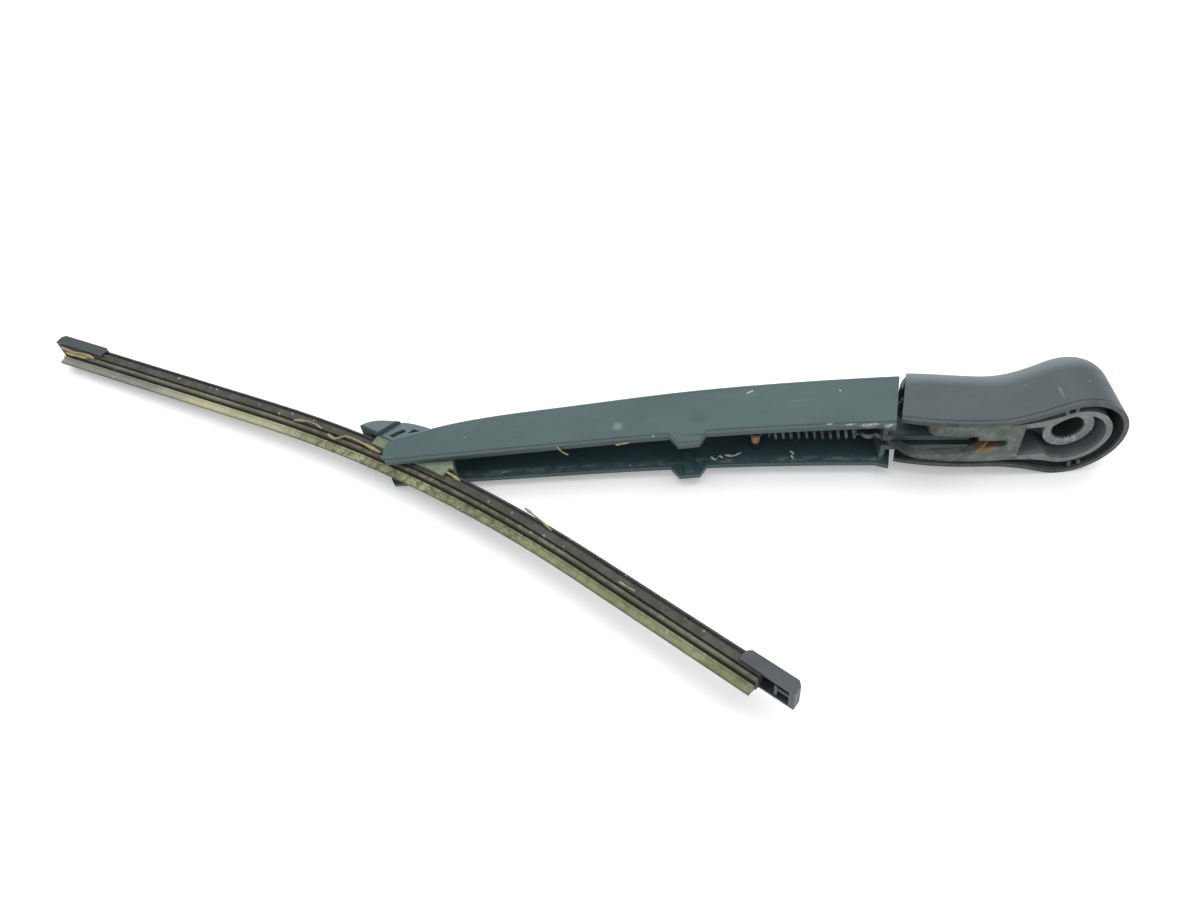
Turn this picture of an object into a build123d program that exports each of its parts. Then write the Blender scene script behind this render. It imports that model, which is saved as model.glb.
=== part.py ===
from build123d import *
from math import atan2, cos, degrees, pi, radians, sin
import os

os.makedirs("parts", exist_ok=True)

# Sizes in millimetres. The spindle axis is Y, the glass is on the -Y side, the arm reaches along -X.
slide_gap = 0.05
free_gap = 0.3

# Head cover
cover_radius = 18.5
cover_wall = 1.8
cover_top = 25.1
cover_round = 3.8
cover_nose_fall = 5.5
cover_neck_half = 11.7
cover_end_half = 11.5
cover_end_rim = (-60.1, 6.7)
cover_end_back = (-52.4, 30.8)
cover_dip = (-21.0, 24.8)
cover_rim_flat = -20.0
seal_radius = 11.2
seal_wall = 1.4
seal_half = 8.6
seal_turn = (114.0, 163.0)
clip_width = 1.3
clip_space = 3.4
clip_turn = 16.0
clip_low = 0.4
clip_height = 2.8

# Head casting
cast_radius = 13.3
cast_wall = 2.1
cast_side_gap = 0.5
cast_face = 0.7
cast_back = 18.6
web_end = -33.2
pocket_edge = -18.0
pocket_depth = 12.0
boss_radius = 8.8
boss_face = 5.0
bore_mouth_radius = 5.5
bore_end_radius = 4.6
bore_taper = 9.6
spindle_hole_radius = 4.2
knurl_count = 30
knurl_depth = 0.55
slot_end = -22.7
slot_half = 1.8
slot_depth = 14.0
finger_inner = 4.0
finger_round = 4.3

# Hinge, link and spring
hinge_at = (-45.5, 21.2)
hinge_pin_radius = 1.8
hook_at = (-28.0, 8.2)
link_pin_radius = 1.6
link_pin_half = 5.6
link_thickness = 2.2
link_width = 2.6
link_eye_radius = 3.2
link_bow = -1.2
link_shoulder = (-62.5, 7.6)
link_dip = -55.0
link_low = -46.5
link_run = -36.5
link_rise = (-30.8, 2.6)
link_end_radius = 3.2
spring_hole_radius = 1.3
anchor_at = (-109.5, 17.6)
anchor_pin_radius = 1.7
link_reach = 41.5
spring_wire = 1.3
spring_radius = 2.6
spring_turns = 11

# Arm shell
arm_end_rim = (-62.9, 3.2)
arm_end_back = (-55.3, 29.4)
arm_wall = 1.9
arm_back_wall = 2.0
arm_half_head = 11.3
arm_half_tip = 7.5
arm_crown = (-136.0, 33.7)
arm_rim_head = 5.2
arm_rim_mid = 10.5
arm_rim_tip = 12.8
arm_rim_bend = -190.0
arm_round = 3.0
arm_fork_start = -226.0
arm_tip_x = -248.0
arm_tip_top = 25.6
ear_inner = 1.35
ear_outer = 3.75
ear_boss_radius = 4.0
ear_near = 2.4
tab_x = -135.3
tab_base = 13.4
tab_tip = 7.6
tab_height = 4.7
pad_width = 3.6
pad_thickness = 1.0
anchor_seat = 1.0

# Blade
pivot_inset = 10.4
pivot_at = (arm_tip_x + pivot_inset, 22.2)
pivot_pin_radius = 1.9
pivot_seat = 1.0
blade_rock = 33.6
blade_curve = 579.0
blade_arc_left = 67.0
blade_arc_right = 87.0
blade_left = 184.5
blade_right = 167.0
blade_drop = 2.9
spine_half = 4.0
spine_height = 4.8
spine_top = 1.0
rail_thickness = 1.0
rail_width = 1.9
rail_inset = 0.35
rail_gap = 0.05
bead_half = 1.9
bead_height = 1.0
neck_half = 0.7
jaw_height = 0.9
heel_half = 3.0
heel_height = 1.5
heel_space = 0.45
ridge_half = 1.4
lip_root_half = 0.75
lip_edge_half = 0.35
lip_depth = 10.4
strip_slip = 12.0
rubber_left_gap = 6.0
cap_half = 5.0
cap_rise = 1.0
cap_skirt = 4.2
cap_left_length = 27.0
cap_right_length = 19.6
cap_end_wall = 2.0
cap_bevel = 1.8
cap_round = 0.9
cap_hook = 1.0
base_half = 5.2
base_core = 3.7
base_left = 17.0
base_right = 21.6
base_rise = 5.2
base_boss = 5.0
fairing_half = 7.1
fairing_left = 24.5
fairing_rise = 9.6
fairing_end = 3.6
fairing_clear = 10.9
fairing_wall = 1.5
fairing_round = 2.2
fairing_slit = 1.1
throat_half = 5.3


# Shared ways of making solids
def side_prism(edges, half):
    return extrude(make_face(edges), amount=half, both=True)


def plan_prism(edges):
    return extrude(make_face(edges), amount=60, dir=(0, 1, 0), both=True)


def cross_pin(at, radius, half):
    return Pos(at[0], at[1], 0) * Cylinder(radius, 2 * half)


def polygon(points):
    return Polyline(*points, close=True)


def between(low, high, x0, x1, y0, y1):
    # Two mirrored blocks with |z| from low to high
    block = Pos((x0 + x1) / 2, (y0 + y1) / 2, (low + high) / 2) * Box(x1 - x0, y1 - y0, high - low)
    return block + mirror(block, Plane.XY)


def slab_pair(edges, low, high):
    # The same outline twice, with |z| from low to high
    plate = Pos(0, 0, low) * extrude(make_face(edges), amount=high - low)
    return plate + mirror(plate, Plane.XY)


def rim_height(x):
    # Near edge of the cover, flat at the hub and rising to the arm
    run = max(0.0, cover_rim_flat - x)
    whole = cover_rim_flat - cover_end_rim[0]
    return cover_end_rim[1] * (run / whole) ** 2


def cover_back(x):
    # Outer height of the cover's neck
    share = (cover_dip[0] - x) / (cover_dip[0] - cover_end_back[0])
    return cover_dip[1] + (cover_end_back[1] - cover_dip[1]) * share ** 1.1 if share > 0 else cover_dip[1]


def arm_half(x):
    # Half width of the arm, straight taper
    share = (x - arm_end_rim[0]) / (arm_fork_start - arm_end_rim[0])
    return arm_half_head + (arm_half_tip - arm_half_head) * share


# Head cover
def neck_outline(radius, neck, end, reach):
    # Drop shape seen along the spindle, one half mirrored
    angle = radians(112)
    hub = (radius * cos(angle), 0, radius * sin(angle))
    mid = (-30.0, 0, neck)
    tail = (reach, 0, end)
    flare = Spline(hub, mid, tangents=[(-sin(angle), 0, cos(angle)), (-1, 0, 0)], tangent_scalars=[1.1, 1.1])
    nose = ThreePointArc(hub, (radius, 0, 0), (hub[0], 0, -hub[2]))
    upper = [flare, Line(mid, tail)]
    lower = [edge.mirror(Plane.XY) for edge in upper]
    return [nose, *upper, *lower, Line(tail, (reach, 0, -end))]


def cover_profile(drop, low, beyond):
    # Side view of the cover, dropped by a wall and drawn past its end where it is the inside
    back = Spline(
        (cover_end_back[0] - beyond, cover_back(cover_end_back[0] - beyond) - drop),
        (-36.0, cover_back(-36.0) - drop),
        (cover_dip[0], cover_dip[1] - drop),
        (-6.0, cover_top - 0.4 - drop),
        (3.0, cover_top - 0.2 - drop),
        (cover_radius, cover_top - cover_nose_fall - drop),
    )
    rim = Spline(
        (cover_radius, -low),
        (cover_rim_flat, -low),
        (-40.0, rim_height(-40.0) - low),
        (cover_end_rim[0] - beyond, cover_end_rim[1] - low),
        tangents=[(-1, 0), (-1, 0.4)],
    )
    return [back, rim, Line(back @ 1, rim @ 0), Line(rim @ 1, back @ 0)]


def long_back_edges(solid, level, length):
    return [e for e in solid.edges() if e.length > length and e.center().Y > level and abs(e.center().Z) > 4]


def cover_body(wall, low, beyond):
    outline = neck_outline(cover_radius - wall, cover_neck_half - wall, cover_end_half - wall, -90)
    body = side_prism(cover_profile(wall, low, beyond), 30) & plan_prism(outline)
    top = body.faces().sort_by(SortBy.AREA).filter_by(lambda f: f.normal_at().Y > 0.7)[-1]
    rims = [e for e in top.edges() if e.length > 3 and not is_across(e)]
    return fillet(rims, cover_round - wall)


def is_across(edge):
    # Straight edges square to the arm, at the open end
    size = edge.bounding_box().size
    return size.X < 0.01 and size.Y < 0.01


def cover_seal():
    # Curved lip about the hinge that closes the gap behind the arm's end
    ring = cross_pin(hinge_at, seal_radius, seal_half) - cross_pin(hinge_at, seal_radius - seal_wall, 20)
    rays = [(hinge_at[0] + 40 * cos(radians(a)), hinge_at[1] + 40 * sin(radians(a))) for a in seal_turn]
    lip = ring & side_prism([polygon([hinge_at, *rays])], 20) & cover_body(cover_wall - 0.4, 5, 12)
    # The link swings up through the middle
    return lip - cross_pin(hinge_at, seal_radius + 1, link_thickness / 2 + 2 * free_gap)


def head_cover():
    shell = cover_body(0, 0, 0) - cover_body(cover_wall, 5, 12) + cover_seal()
    reach = cover_radius - cover_wall - cast_radius - free_gap
    clip_mid = cast_radius + free_gap + (reach + 0.4) / 2
    clip = Pos(clip_mid, clip_low + clip_height / 2, 0) * Box(reach + 0.4, clip_height, clip_width)
    for side in (1, -1):
        turn = side * 90 + clip_turn
        for step in (-1, 1):
            spread = degrees(clip_space / 2 / clip_mid) * step
            shell += Rot(0, -(turn + spread), 0) * clip
    return shell


# Head casting
def star_face(radius, depth):
    points = []
    for tooth in range(knurl_count * 2):
        angle = pi * tooth / knurl_count
        reach = radius if tooth % 2 == 0 else radius + depth
        points.append((reach * cos(angle), reach * sin(angle)))
    return make_face(Polyline(*points, close=True))


def knurled_bore():
    # Star shaped taper, widest where the spindle enters, then a plain hole for its threaded end
    taper_end = boss_face + bore_taper
    mouth = Plane(origin=(0, boss_face, 0), x_dir=(1, 0, 0), z_dir=(0, -1, 0))
    end = Plane(origin=(0, taper_end, 0), x_dir=(1, 0, 0), z_dir=(0, -1, 0))
    taper = loft([mouth * star_face(bore_mouth_radius, knurl_depth), end * star_face(bore_end_radius, knurl_depth)])
    lead = Pos(0, boss_face + 0.5, 0) * Rot(90, 0, 0) * Cone(bore_end_radius, bore_mouth_radius + 1.2, 1.0)
    hole = Pos(0, taper_end, 0) * Rot(90, 0, 0) * Cylinder(spindle_hole_radius, 2 * (cast_back - taper_end))
    return taper + lead + hole


def head_casting():
    half = cover_neck_half - cover_wall - cast_side_gap
    finger_left = hinge_at[0] - finger_round
    outline = neck_outline(cast_radius, half, half, -70)
    near = Spline(
        (cast_radius + 1, cast_face),
        (cover_rim_flat, cast_face),
        (-36.0, rim_height(-36.0) + cast_face),
        (finger_left - 2, rim_height(finger_left - 2) + cast_face),
    )
    back_line = Polyline(
        near @ 1,
        (finger_left - 2, hinge_at[1] + finger_round / 2),
        (hinge_at[0], hinge_at[1] + finger_round / 2),
        (web_end + 6, cast_back),
        (cast_radius + 1, cast_back),
        near @ 0,
    )
    body = side_prism([near, back_line], 30) & plan_prism(outline)
    # Fingers end in a round about the hinge pin
    body -= Pos(hinge_at[0] - 10, hinge_at[1], 0) * Box(20, 60, 40)
    below = side_prism(
        [polygon([
            (finger_left, hinge_at[1]),
            (finger_left, rim_height(finger_left) + cast_face + 1.6),
            (finger_left + 1.6, rim_height(finger_left + 1.6) + cast_face),
            (hinge_at[0] + 0.5, rim_height(hinge_at[0]) + cast_face),
            (hinge_at[0] + 0.5, hinge_at[1]),
        ])],
        half,
    )
    body += below + cross_pin(hinge_at, finger_round, half - 1.2)
    # Fork gap for the ears, slot for the link, pocket round the boss
    gap_top = hinge_at[1] + finger_round + 5
    body -= Pos((web_end - 80) / 2, gap_top / 2, 0) * Box(web_end + 80, gap_top + 20, 2 * finger_inner)
    slot_mid = slot_end - slot_half
    slot_low = -3.0
    slot_length = slot_depth - slot_low
    slot = Pos((web_end - 2 + slot_mid) / 2, slot_low + slot_length / 2, 0)
    body -= slot * Box(slot_mid - web_end + 2, slot_length, 2 * slot_half)
    body -= Pos(slot_mid, slot_low + slot_length / 2, 0) * Rot(90, 0, 0) * Cylinder(slot_half, slot_length)
    pocket = Pos(0, pocket_depth / 2 - 2, 0) * Rot(90, 0, 0) * Cylinder(cast_radius - cast_wall, pocket_depth + 4)
    side_pocket = Pos(pocket_edge / 2, pocket_depth / 2 - 2, 0)
    pocket += side_pocket * Box(-pocket_edge, pocket_depth + 4, 2 * (half - cast_wall))
    boss_height = pocket_depth - boss_face + 2
    boss = Pos(0, boss_face + boss_height / 2, 0) * Rot(90, 0, 0) * Cylinder(boss_radius, boss_height)
    body -= pocket - boss
    body -= knurled_bore()
    body -= cross_pin(hinge_at, hinge_pin_radius + slide_gap / 2, 40)
    body -= cross_pin(hook_at, link_pin_radius + slide_gap / 2, link_pin_half)
    return body


# Pins
def hinge_pin():
    half = cover_neck_half - cover_wall - cast_side_gap
    pin = cross_pin(hinge_at, hinge_pin_radius, half)
    return chamfer(pin.edges().filter_by(GeomType.CIRCLE), 0.3)


def link_pin():
    return cross_pin(hook_at, link_pin_radius, link_pin_half - 0.1)


def spring_anchor_pin():
    half = arm_half(anchor_at[0]) - arm_wall + anchor_seat
    return cross_pin(anchor_at, anchor_pin_radius, half - slide_gap)


def blade_pivot_pin():
    half = arm_half_tip - arm_wall + pivot_seat
    return cross_pin(pivot_at, pivot_pin_radius, half - slide_gap)


# Arm shell
def arm_back_points(drop):
    return [
        (arm_end_back[0] + drop, arm_end_back[1] - drop),
        (-92.0, arm_crown[1] - 1.5 - drop),
        (arm_crown[0], arm_crown[1] - drop),
        (-182.0, arm_crown[1] - 0.9 - drop),
        (arm_fork_start, arm_crown[1] - 3.6 - drop),
        (arm_tip_x + 3.2, arm_tip_top - drop),
    ]


def arm_profile(drop, low):
    back = Spline(*arm_back_points(drop))
    rim = Spline(
        (arm_tip_x + 1.6, arm_rim_tip - low),
        (arm_rim_bend, arm_rim_tip - 1.0 - low),
        (tab_x, arm_rim_mid - 0.2 - low),
        (-98.0, 8.0 - low),
        (arm_end_rim[0] - 4.5, arm_rim_head - low),
    )
    tip = Spline(back @ 1, (arm_tip_x, 17.0), rim @ 0)
    toe = Polyline(rim @ 1, (arm_end_rim[0] + drop, arm_end_rim[1] - low), back @ 0)
    return [back, tip, rim, toe]


def arm_plan(inset):
    head = arm_end_back[0] + 20
    tip = arm_tip_x - 10
    points = [(head, 0, arm_half(head) - inset), (tip, 0, arm_half(tip) - inset)]
    other = [(x, y, -z) for x, y, z in reversed(points)]
    return [Polyline(*points, *other, close=True)]


def arm_ears():
    near_right = (web_end - 2.6, ear_near + cast_face)
    near_left = (arm_end_rim[0] - 3.0, arm_rim_head + 1.2)
    toe_right = web_end - 0.5
    boss_low = radians(219)
    root = (hinge_at[0] + ear_boss_radius * cos(boss_low), hinge_at[1] + ear_boss_radius * sin(boss_low))
    sweep = (hinge_at[0] + 12 * cos(boss_low), hinge_at[1] + 12 * sin(boss_low))
    outline = [polygon([
        near_left,
        near_right,
        (toe_right, near_right[1] + 1.6),
        (toe_right, near_right[1] + 5.0),
        (hinge_at[0] + ear_boss_radius, hinge_at[1] - 1.0),
        hinge_at,
        root,
        sweep,
        (arm_end_back[0] - 3.6, sweep[1] + 1.0),
        (arm_end_back[0] - 2.2, arm_end_back[1] - 1.0),
        (near_left[0], arm_end_back[1] - 0.6),
    ])]
    ears = slab_pair(outline, ear_inner, ear_outer)
    boss = cross_pin(hinge_at, ear_boss_radius, ear_outer) - cross_pin(hinge_at, 20, ear_inner)
    ribs = between(ear_inner, arm_half_head - 1, near_left[0], near_left[0] + 1.8, near_left[1], arm_end_back[1] - 0.6)
    return ears + boss + ribs


def guide_tabs():
    rim = arm_rim_mid
    outer = arm_half(tab_x) - 0.05
    tabs = slab_pair(
        [polygon([
            (tab_x - tab_base / 2, rim + 1.0),
            (tab_x - tab_base / 2, rim),
            (tab_x - tab_tip / 2, rim - tab_height),
            (tab_x + tab_tip / 2, rim - tab_height),
            (tab_x + tab_base / 2, rim - 0.6),
            (tab_x + tab_base / 2, rim + 1.0),
        ])],
        outer - arm_wall,
        outer,
    )
    inner = outer - arm_wall
    low = rim - tab_height + 0.8
    pads = between(inner - pad_thickness, inner + 0.6, tab_x - pad_width / 2, tab_x + pad_width / 2, low, rim + 6)
    return tabs + pads


def arm_shell():
    body = side_prism(arm_profile(0, 0), 30) & plan_prism(arm_plan(0))
    body = fillet(long_back_edges(body, 22, 100), arm_round)
    hollow = side_prism(arm_profile(arm_back_wall, 8), 30) & plan_prism(arm_plan(arm_wall))
    hollow = fillet(long_back_edges(hollow, 20, 100), arm_round - 1.4)
    body -= hollow
    fork = (arm_tip_x - 10 + arm_fork_start) / 2
    body -= Pos(fork, 25, 0) * Box(arm_fork_start - arm_tip_x + 10, 40, 2 * (arm_half_tip - arm_wall))
    body += arm_ears() + guide_tabs()
    body -= cross_pin(hinge_at, hinge_pin_radius + slide_gap, 30)
    seat = arm_half(anchor_at[0]) - arm_wall + anchor_seat
    body -= cross_pin(anchor_at, anchor_pin_radius + slide_gap / 2, seat)
    body -= cross_pin(pivot_at, pivot_pin_radius + slide_gap / 2, arm_half_tip - arm_wall + pivot_seat)
    return body


# Spring link and spring
def link_end():
    # Where the spring hooks on, on the line from the anchor to the hook
    aim = atan2(anchor_at[1] - hook_at[1], anchor_at[0] - hook_at[0])
    return (hook_at[0] + link_reach * cos(aim), hook_at[1] + link_reach * sin(aim))


def spring_link():
    end = link_end()
    path = Spline(
        end,
        link_shoulder,
        (link_dip, link_bow + 1.2),
        (link_low, link_bow),
        (link_run, link_bow + 0.3),
        link_rise,
        (hook_at[0] - 0.3, hook_at[1] - link_eye_radius + 1.0),
    )
    across = Plane(path @ 0, x_dir=(0, 0, 1), z_dir=path % 0)
    strip = sweep(across * Rectangle(link_thickness, link_width), path=path)
    link = strip + cross_pin(end, link_end_radius, link_thickness / 2)
    link += cross_pin(hook_at, link_eye_radius, link_thickness / 2)
    link -= cross_pin(hook_at, link_pin_radius + slide_gap, 10)
    link -= cross_pin(end, spring_hole_radius, 10)
    return link


def tension_spring():
    # Drawn along Z from the anchor, then laid on the line to the link
    end = link_end()
    aim = degrees(atan2(end[1] - anchor_at[1], end[0] - anchor_at[0]))
    reach = ((end[0] - anchor_at[0]) ** 2 + (end[1] - anchor_at[1]) ** 2) ** 0.5
    wire = spring_wire / 2
    ring = anchor_pin_radius + slide_gap + wire
    low = ring + spring_radius
    high = reach - link_end_radius - spring_wire
    coil = Helix((high - low) / spring_turns, high - low, spring_radius)
    turns = sweep(Plane(coil @ 0, z_dir=coil % 0) * Circle(wire), path=coil, is_frenet=True)
    spring = Pos(0, 0, low) * turns
    straddle = link_thickness / 2 + slide_gap + wire
    spring += Pos(spring_radius / 2, 0, low) * Rot(0, 90, 0) * Cylinder(wire * 0.98, spring_radius + 0.4)
    spring += Pos((spring_radius - straddle) / 2, 0, high) * Rot(0, 90, 0) * Cylinder(
        wire * 0.98, spring_radius + straddle + 0.4
    )
    spring += Pos(0, 0, (ring + low) / 2) * Cylinder(wire, low - ring)
    spring += Rot(0, 90, 0) * Torus(ring, wire)
    for side in (-1, 1):
        spring += Pos(side * straddle, 0, (high + reach) / 2) * Cylinder(wire, reach - high)
        spring += Pos(side * straddle, 0, reach) * Sphere(wire)
    spring += Pos(0, 0, reach) * Rot(0, 90, 0) * Cylinder(wire, 2 * straddle)
    return Pos(anchor_at[0], anchor_at[1], 0) * Rot(0, 0, aim) * Rot(0, 90, 0) * spring


# Blade pieces are drawn about the pivot, along the blade, then turned into place
def place_blade(solid):
    return Pos(pivot_at[0], pivot_at[1], 0) * Rot(0, 0, -blade_rock) * solid


def section_at(section, along):
    # A section drawn in (z, height) under the back of the spine, set across the blade
    bend = min(max(along, -blade_arc_left), blade_arc_right)
    frame = Plane(origin=(along - bend, -blade_drop, 0), x_dir=(0, 0, 1), z_dir=(-1, 0, 0))
    hub = Axis((0, -blade_drop - blade_curve, 0), (0, 0, 1))
    return (frame * section).rotate(hub, degrees(-bend / blade_curve))


def straight_run(section, start, stop):
    bend = min(max(start, -blade_arc_left), blade_arc_right)
    way = (cos(bend / blade_curve), -sin(bend / blade_curve), 0)
    return extrude(section_at(section, start), amount=stop - start, dir=way)


def along_blade(section, start, stop):
    # The blade is an arc in the middle with straight ends
    runs = []
    if start < -blade_arc_left:
        runs.append(straight_run(section, start, min(stop, -blade_arc_left)))
    low = max(start, -blade_arc_left)
    high = min(stop, blade_arc_right)
    if low < high:
        centre = Axis((0, -blade_drop - blade_curve, 0), (0, 0, -1))
        runs.append(revolve(section_at(section, low), centre, revolution_arc=degrees((high - low) / blade_curve)))
    if stop > blade_arc_right:
        runs.append(straight_run(section, max(start, blade_arc_right), stop))
    whole = runs[0]
    for run in runs[1:]:
        whole += run
    return whole


def rect(half, top, bottom):
    return Pos(0, (top + bottom) / 2) * Rectangle(2 * half, abs(top - bottom))


def slot_pair(inner, outer, top, bottom):
    mid = (inner + outer) / 2
    one = Pos(mid, (top + bottom) / 2) * Rectangle(outer - inner, abs(top - bottom))
    two = Pos(-mid, (top + bottom) / 2) * Rectangle(outer - inner, abs(top - bottom))
    return one + two


def blade_spine():
    rail_low = -spine_top - rail_thickness - 2 * rail_gap
    rail_in = spine_half - rail_inset - rail_width - rail_gap
    section = rect(spine_half, 0, -spine_height)
    section = fillet(section.vertices().group_by(Axis.Y)[-1], 0.8)
    section -= slot_pair(rail_in, spine_half + 1, -spine_top, rail_low)
    jaw = -spine_height + jaw_height
    section -= rect(bead_half, jaw + bead_height, jaw)
    section -= rect(neck_half + slide_gap, jaw, -spine_height - 1)
    inset = cap_end_wall + slide_gap
    return place_blade(along_blade(section, -blade_left + inset, blade_right - strip_slip))


def blade_rail(side):
    high = -spine_top - rail_gap
    mid = spine_half - rail_inset - rail_width / 2
    section = Pos(side * mid, high - rail_thickness / 2) * Rectangle(rail_width, rail_thickness)
    inset = cap_end_wall + slide_gap
    return place_blade(along_blade(section, -blade_left + inset, blade_right - strip_slip))


def rubber_element():
    jaw = -spine_height + jaw_height
    heel_top = -spine_height - heel_space
    heel_low = heel_top - heel_height
    ridge_top = heel_low - 0.5
    ridge_low = ridge_top - 0.5
    half = [
        (0, jaw + bead_height - slide_gap),
        (bead_half - slide_gap, jaw + bead_height - slide_gap),
        (bead_half - slide_gap, jaw + slide_gap),
        (neck_half, jaw + slide_gap),
        (neck_half, heel_top),
        (heel_half, heel_top),
        (heel_half, heel_low + 0.5),
        (heel_half - 0.9, heel_low),
        (lip_root_half, heel_low),
        (lip_root_half, ridge_top),
        (ridge_half, ridge_top - 0.1),
        (ridge_half, ridge_low),
        (lip_root_half, ridge_low - 0.5),
        (lip_edge_half, -lip_depth),
        (0, -lip_depth),
    ]
    other = [(-x, y) for x, y in reversed(half[1:-1])]
    section = make_face(Polyline(*half, *other, close=True))
    return place_blade(along_blade(section, -blade_left + rubber_left_gap, blade_right - strip_slip))


def top_end_edges(solid):
    # The two edges across the back of a cap, one at each end
    across = solid.edges().filter_by(Axis.Z).sort_by(Axis.X)
    return [max(pair, key=lambda e: e.center().Y) for pair in (across[:2], across[-2:])]


def end_cap(start, stop, inner_start, inner_stop):
    block = along_blade(rect(cap_half, cap_rise, -cap_skirt), start, stop)
    block = chamfer(top_end_edges(block), cap_bevel)
    block = fillet(block.edges().filter_by(lambda e: e.length > 10).sort_by(Axis.Y)[-2:], cap_round)
    room = rect(spine_half + slide_gap, slide_gap, -cap_skirt - 5)
    return block - along_blade(room, inner_start, inner_stop)


def left_end_cap():
    stop = -blade_left + cap_left_length
    return place_blade(end_cap(-blade_left, stop, -blade_left + cap_end_wall, stop + 5))


def right_end_cap():
    # An angled hook stands in the empty end of the cap
    start = blade_right - cap_right_length
    inner_stop = blade_right - cap_end_wall
    cap = end_cap(start, blade_right, start - 5, inner_stop)
    stem = Pos(spine_half / 3, -cap_skirt / 2) * Rectangle(cap_hook, cap_skirt)
    bar = Pos(0, -cap_skirt / 2) * Rectangle(spine_half * 1.4, cap_skirt)
    cap += along_blade(stem, inner_stop - 5 * cap_hook, inner_stop + cap_hook)
    cap += along_blade(bar, inner_stop - 5 * cap_hook, inner_stop - 4 * cap_hook)
    return place_blade(cap)


def connector_base():
    top = -blade_drop + slide_gap
    profile = [polygon([
        (-base_left, top),
        (base_right, top),
        (base_right - 4.6, top + base_rise),
        (6.5, base_boss),
        (-6.5, base_boss),
        (-base_left + 3.0, top + 2.2),
    ])]
    block = side_prism(profile, base_half) + cross_pin((0, 0), base_boss, base_half)
    block -= between(base_core, fairing_half, -base_left - 5, fairing_end + free_gap, top, base_rise + 5)
    block -= Pos(0, top - 10, 0) * Box(100, 20, 40)
    wrap = rect(base_half, 0.6, -spine_height + jaw_height + 0.4) - rect(spine_half + slide_gap, slide_gap, -20)
    block += along_blade(wrap, -base_left + 2, base_right - 2)
    block -= along_blade(rect(spine_half + slide_gap, slide_gap, -20), -40, 40)
    block -= cross_pin((0, 0), pivot_pin_radius + slide_gap, 20)
    mouth = Pos(0, base_boss, 0) * Box(2 * pivot_pin_radius - 0.7, 2 * base_boss, 40)
    block -= mouth
    return place_blade(block)


def fairing_roof(drop, foot):
    # Side view of the cover over the joint
    top = Spline(
        (-fairing_left + drop, foot),
        (-fairing_left + 2.2 + drop, foot + 3.4 - drop),
        (-15.0, fairing_rise - 3.9 - drop),
        (-6.0, fairing_rise - 1.0 - drop),
        (fairing_end, fairing_rise - drop),
    )
    return [top, Polyline(top @ 1, (fairing_end, foot), top @ 0)]


def connector_fairing():
    foot = -blade_drop + 0.9
    shell = side_prism(fairing_roof(0, foot), fairing_half)
    shell = fillet(long_back_edges(shell, 1, 20), fairing_round)
    # Left of a slanted slit it is wide, right of it a throat stands between the fork walls
    slit = [(-15.2, foot - 1), (-15.2 + fairing_slit, foot - 1), (-8.6, 12.0), (-8.6 - fairing_slit, 12.0)]
    wide_side = [slit[1], (20.0, foot - 1), (20.0, 12.0), slit[2]]
    shell -= slab_pair([polygon(wide_side)], throat_half, 12)
    shell -= slab_pair([polygon(slit)], throat_half - 0.5, 12)
    room = side_prism(fairing_roof(fairing_wall, foot - 3), base_core + slide_gap)
    shell -= room + Pos(fairing_end, foot + 3, 0) * Box(4, 6, 2 * base_core + 2 * slide_gap)
    # Pin holes, ringed recess and three-cornered opening on both walls
    shell -= cross_pin((0, 0), pivot_pin_radius + free_gap, 20)
    shell -= Pos(0, -4, 0) * Box(2 * pivot_pin_radius - 0.4, 8, 40)
    shell -= slab_pair([polygon([(-11.2, -0.6), (-8.9, -0.6), (-6.4, 4.4), (-8.4, 4.4)])], base_core, 12)
    shell -= slab_pair([polygon([(-5.4, 3.4), (-1.6, 6.9), (-4.6, 6.3)])], base_core, 12)
    wide_clear = cross_pin((0, 0), fairing_clear, 20) - cross_pin((0, 0), 30, throat_half)
    return place_blade(shell - wide_clear)


# Every node is one file
nodes = {
    "head_casting": head_casting(),
    "head_cover": head_cover(),
    "hinge_pin": hinge_pin(),
    "link_pin": link_pin(),
    "arm_shell": arm_shell(),
    "spring_anchor_pin": spring_anchor_pin(),
    "blade_pivot_pin": blade_pivot_pin(),
    "spring_link": spring_link(),
    "tension_spring": tension_spring(),
    "connector_base": connector_base(),
    "connector_fairing": connector_fairing(),
    "blade_spine": blade_spine(),
    "upper_rail": blade_rail(1),
    "lower_rail": blade_rail(-1),
    "rubber_element": rubber_element(),
    "left_end_cap": left_end_cap(),
    "right_end_cap": right_end_cap(),
}

for name, solid in nodes.items():
    export_step(solid, f"parts/{name}.step")
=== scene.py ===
import bpy
import math
from mathutils import Matrix, Vector


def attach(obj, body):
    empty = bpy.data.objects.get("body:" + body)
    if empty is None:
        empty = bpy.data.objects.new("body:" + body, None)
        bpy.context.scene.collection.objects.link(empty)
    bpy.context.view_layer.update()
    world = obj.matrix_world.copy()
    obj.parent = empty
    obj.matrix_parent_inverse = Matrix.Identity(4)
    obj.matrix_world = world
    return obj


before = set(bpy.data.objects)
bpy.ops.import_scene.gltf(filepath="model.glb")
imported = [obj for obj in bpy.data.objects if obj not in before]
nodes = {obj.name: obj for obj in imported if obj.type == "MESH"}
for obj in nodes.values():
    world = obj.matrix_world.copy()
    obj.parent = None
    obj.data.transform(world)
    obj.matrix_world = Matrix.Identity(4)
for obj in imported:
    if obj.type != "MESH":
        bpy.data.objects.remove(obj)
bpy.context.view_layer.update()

print("frame loaded:", len(nodes), "nodes")


# Small helpers for shader nodes
def srgb(red, green, blue):
    def linear(v):
        v = v / 255
        return v / 12.92 if v <= 0.04045 else ((v + 0.055) / 1.055) ** 2.4
    return (linear(red), linear(green), linear(blue), 1)


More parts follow.
